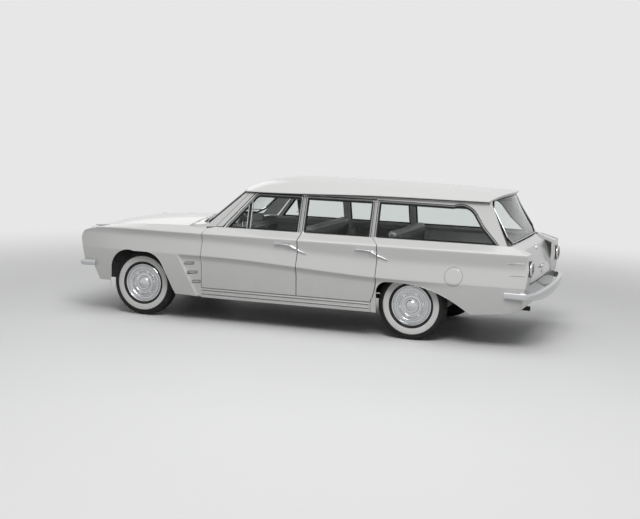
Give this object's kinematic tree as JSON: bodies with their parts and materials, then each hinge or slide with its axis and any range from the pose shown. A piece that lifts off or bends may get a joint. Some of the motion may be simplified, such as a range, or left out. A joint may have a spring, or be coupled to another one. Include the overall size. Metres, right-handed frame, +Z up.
{
  "type": "four-door station wagon",
  "caption": "Four-door family station wagon with a long flat roof, opening doors, hood and drop-down tailgate, and steered front wheels on wide whitewall tyres.",
  "frame": {"origin": "on the ground, at the middle of the bounding box's base", "axes": "+X towards the front of the car, +Y towards its left side, +Z up"},
  "size_m": [4.808, 1.8342, 1.4521],
  "materials": {
    "body_paint": "gloss pale enamel",
    "floor_paint": "satin enamel under carpet and mats",
    "under_paint": "satin black",
    "dark_steel": "black chassis paint",
    "engine_iron": "painted castings",
    "chrome": "polished chrome plate",
    "window_glass": "clear, lightly tinted",
    "lamp_clear": "fluted clear lens",
    "lamp_red": "red lens",
    "trim": "dark grained trim",
    "wheel_plastic": "gloss moulded rim",
    "seat_vinyl": "dark pleated vinyl",
    "tyre_rubber": "black with a wide white sidewall band"
  },
  "bodies": {
    "body_shell": {"floor_pan": "floor_paint", "cargo_floor": "floor_paint", "cowl": "body_paint", "front_structure": "under_paint", "nose_panel": "body_paint", "grille": "chrome", "headlamps": "lamp_clear", "front_bumper": "chrome", "rear_bumper": "chrome", "rear_panel": "body_paint", "tail_lamps": "lamp_red", "fender_left": "body_paint", "fender_right": "body_paint", "side_frame_left": "body_paint", "side_frame_right": "body_paint", "quarter_left": "body_paint", "quarter_right": "body_paint", "roof": "body_paint", "windshield": "window_glass", "rear_window": "window_glass", "cargo_glass": "window_glass", "dashboard": "trim", "seat_risers": "dark_steel", "front_seat_cushion": "seat_vinyl", "front_seat_back": "seat_vinyl", "rear_seat_cushion": "seat_vinyl", "rear_seat_back": "seat_vinyl", "engine_block": "engine_iron", "drivetrain": "engine_iron", "front_suspension": "dark_steel", "rear_suspension": "dark_steel", "fuel_tank": "dark_steel", "exhaust": "dark_steel"},
    "hood": {"hood": "body_paint"},
    "tailgate": {"tailgate": "body_paint"},
    "steering_wheel": {"steering_wheel": "wheel_plastic"},
    "door_front_left": {"door_front_left": "body_paint", "glass_front_left": "window_glass"},
    "door_rear_left": {"door_rear_left": "body_paint", "glass_rear_left": "window_glass"},
    "knuckle_left": {"knuckle_left": "dark_steel"},
    "wheel_front_left": {"rim_front_left": "chrome", "tyre_front_left": "tyre_rubber"},
    "wheel_rear_left": {"rim_rear_left": "chrome", "tyre_rear_left": "tyre_rubber"},
    "door_front_right": {"door_front_right": "body_paint", "glass_front_right": "window_glass"},
    "door_rear_right": {"door_rear_right": "body_paint", "glass_rear_right": "window_glass"},
    "knuckle_right": {"knuckle_right": "dark_steel"},
    "wheel_front_right": {"rim_front_right": "chrome", "tyre_front_right": "tyre_rubber"},
    "wheel_rear_right": {"rim_rear_right": "chrome", "tyre_rear_right": "tyre_rubber"}
  },
  "joints": [
    {"name": "door_front_left_hinge", "type": "hinge", "parent": "body_shell", "child": "door_front_left", "pos_m": [0.956, 0.917, 0.6], "axis": [0, 0, -1], "range_deg": [0, 65]},
    {"name": "door_rear_left_hinge", "type": "hinge", "parent": "body_shell", "child": "door_rear_left", "pos_m": [-0.059, 0.917, 0.6], "axis": [0, 0, -1], "range_deg": [0, 65]},
    {"name": "door_front_right_hinge", "type": "hinge", "parent": "body_shell", "child": "door_front_right", "pos_m": [0.956, -0.917, 0.6], "axis": [0, 0, 1], "range_deg": [0, 65]},
    {"name": "door_rear_right_hinge", "type": "hinge", "parent": "body_shell", "child": "door_rear_right", "pos_m": [-0.059, -0.917, 0.6], "axis": [0, 0, 1], "range_deg": [0, 65]},
    {"name": "hood_hinge", "type": "hinge", "parent": "body_shell", "child": "hood", "pos_m": [1.172, 0, 1.007], "axis": [0, -1, 0], "range_deg": [0, 50]},
    {"name": "tailgate_hinge", "type": "hinge", "parent": "body_shell", "child": "tailgate", "pos_m": [-2.291, 0, 0.6], "axis": [0, -1, 0], "range_deg": [0, 90]},
    {"name": "steer_left", "type": "hinge", "parent": "body_shell", "child": "knuckle_left", "pos_m": [1.652, 0.6455, 0.333], "axis": [0, 0, 1], "range_deg": [-30, 30]},
    {"name": "steer_right", "type": "hinge", "parent": "body_shell", "child": "knuckle_right", "pos_m": [1.652, -0.6455, 0.333], "axis": [0, 0, 1], "range_deg": [-30, 30]},
    {"name": "wheel_front_left_spin", "type": "hinge", "parent": "knuckle_left", "child": "wheel_front_left", "pos_m": [1.652, 0.7215, 0.333], "axis": [0, 1, 0], "continuous": true},
    {"name": "wheel_rear_left_spin", "type": "hinge", "parent": "body_shell", "child": "wheel_rear_left", "pos_m": [-1.193, 0.7215, 0.333], "axis": [0, 1, 0], "continuous": true},
    {"name": "wheel_front_right_spin", "type": "hinge", "parent": "knuckle_right", "child": "wheel_front_right", "pos_m": [1.652, -0.7215, 0.333], "axis": [0, 1, 0], "continuous": true},
    {"name": "wheel_rear_right_spin", "type": "hinge", "parent": "body_shell", "child": "wheel_rear_right", "pos_m": [-1.193, -0.7215, 0.333], "axis": [0, 1, 0], "continuous": true},
    {"name": "steering_wheel_turn", "type": "hinge", "parent": "body_shell", "child": "steering_wheel", "pos_m": [0.67, 0.37, 0.88], "axis": [-0.8829, 0, 0.4695], "range_deg": [-420, 420]}
  ],
  "couplings": [
    {"joint": "steer_right", "follows": "steer_left", "ratio": 1},
    {"joint": "steering_wheel_turn", "follows": "steer_left", "ratio": 14}
  ]
}
